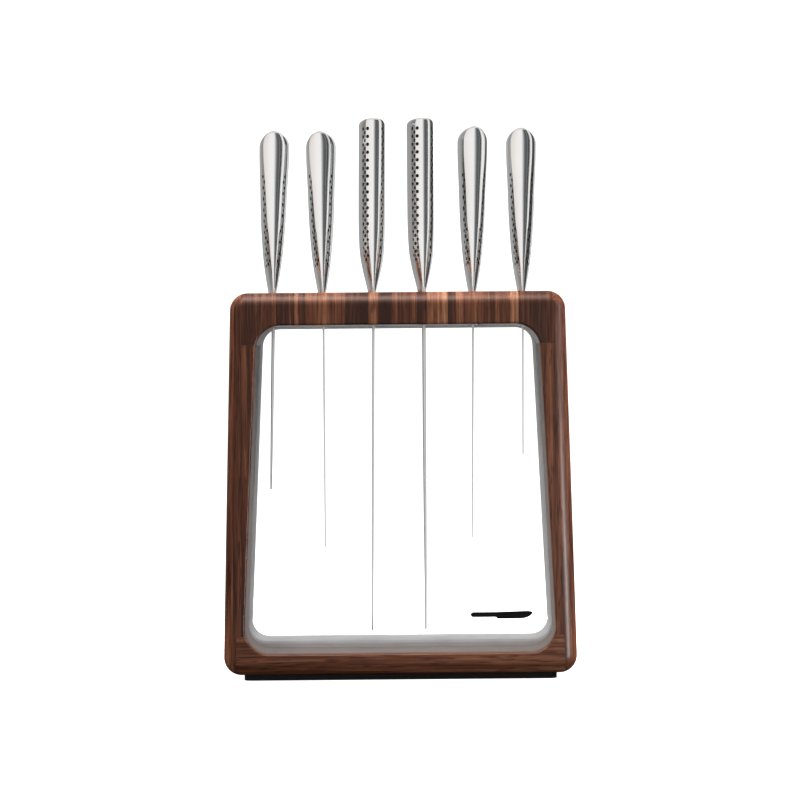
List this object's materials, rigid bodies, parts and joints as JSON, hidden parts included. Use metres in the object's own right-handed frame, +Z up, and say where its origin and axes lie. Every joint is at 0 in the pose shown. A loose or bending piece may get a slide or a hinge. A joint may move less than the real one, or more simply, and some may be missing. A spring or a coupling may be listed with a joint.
{
  "type": "knife block with knives",
  "caption": "Standing walnut knife block with clear front and rear windows; steel handled knives hang in slots and lift out upwards.",
  "frame": {"origin": "on the table, under the middle of the block", "axes": "+Z up, the front of the block and the spines of the knives face -Y, +X to the right of a person looking at the front"},
  "size_m": [0.2372, 0.11, 0.3794],
  "materials": {
    "laminated_walnut": "glued walnut staves under satin oil, light and dark staves side by side",
    "walnut": "straight grained walnut under satin oil",
    "dowel_wood": "plain beech, hidden",
    "clear_window": "clear polished acrylic sheet",
    "taupe_lining": "satin taupe laminate",
    "grey_lining": "satin pale grey laminate",
    "foot_rubber": "matt black non-slip rubber",
    "blade_steel": "fine satin ground stainless steel",
    "handle_steel": "satin polished stainless steel with black filled dimples",
    "sand_fill": "loose sand, sealed in"
  },
  "bodies": {
    "block": {"top_rail": "laminated_walnut", "bottom_rail": "walnut", "left_leg": "walnut", "right_leg": "walnut", "lower_left_front_dowel": "dowel_wood", "lower_left_rear_dowel": "dowel_wood", "lower_right_front_dowel": "dowel_wood", "lower_right_rear_dowel": "dowel_wood", "upper_left_front_dowel": "dowel_wood", "upper_left_rear_dowel": "dowel_wood", "upper_right_front_dowel": "dowel_wood", "upper_right_rear_dowel": "dowel_wood", "front_window": "clear_window", "rear_window": "clear_window", "front_lining": "taupe_lining", "ceiling_lining": "grey_lining", "rear_lining": "grey_lining", "front_foot_strip": "foot_rubber", "rear_foot_strip": "foot_rubber"},
    "small_cooks_knife": {"small_cooks_knife_blade": "blade_steel", "small_cooks_knife_left_shell": "handle_steel", "small_cooks_knife_right_shell": "handle_steel", "small_cooks_knife_sand_fill": "sand_fill"},
    "utility_knife": {"utility_knife_blade": "blade_steel", "utility_knife_left_shell": "handle_steel", "utility_knife_right_shell": "handle_steel", "utility_knife_sand_fill": "sand_fill"},
    "bread_knife": {"bread_knife_blade": "blade_steel", "bread_knife_left_shell": "handle_steel", "bread_knife_right_shell": "handle_steel", "bread_knife_sand_fill": "sand_fill"},
    "cooks_knife": {"cooks_knife_blade": "blade_steel", "cooks_knife_left_shell": "handle_steel", "cooks_knife_right_shell": "handle_steel", "cooks_knife_sand_fill": "sand_fill"},
    "vegetable_knife": {"vegetable_knife_blade": "blade_steel", "vegetable_knife_left_shell": "handle_steel", "vegetable_knife_right_shell": "handle_steel", "vegetable_knife_sand_fill": "sand_fill"},
    "paring_knife": {"paring_knife_blade": "blade_steel", "paring_knife_left_shell": "handle_steel", "paring_knife_right_shell": "handle_steel", "paring_knife_sand_fill": "sand_fill"}
  },
  "joints": [
    {"name": "small_cooks_knife_lift", "type": "slide", "parent": "block", "child": "small_cooks_knife", "axis": [0.0227, 0, 0.9997], "range_m": [0, 0.145]},
    {"name": "utility_knife_lift", "type": "slide", "parent": "block", "child": "utility_knife", "axis": [0, 0, 1], "range_m": [0, 0.185]},
    {"name": "bread_knife_lift", "type": "slide", "parent": "block", "child": "bread_knife", "axis": [0.0113, 0, 0.9999], "range_m": [0, 0.243]},
    {"name": "cooks_knife_lift", "type": "slide", "parent": "block", "child": "cooks_knife", "axis": [0.0014, 0, 1], "range_m": [0, 0.242]},
    {"name": "vegetable_knife_lift", "type": "slide", "parent": "block", "child": "vegetable_knife", "axis": [0.0126, 0, 0.9999], "range_m": [0, 0.179]},
    {"name": "paring_knife_lift", "type": "slide", "parent": "block", "child": "paring_knife", "axis": [0.0066, 0, 1], "range_m": [0, 0.123]}
  ]
}
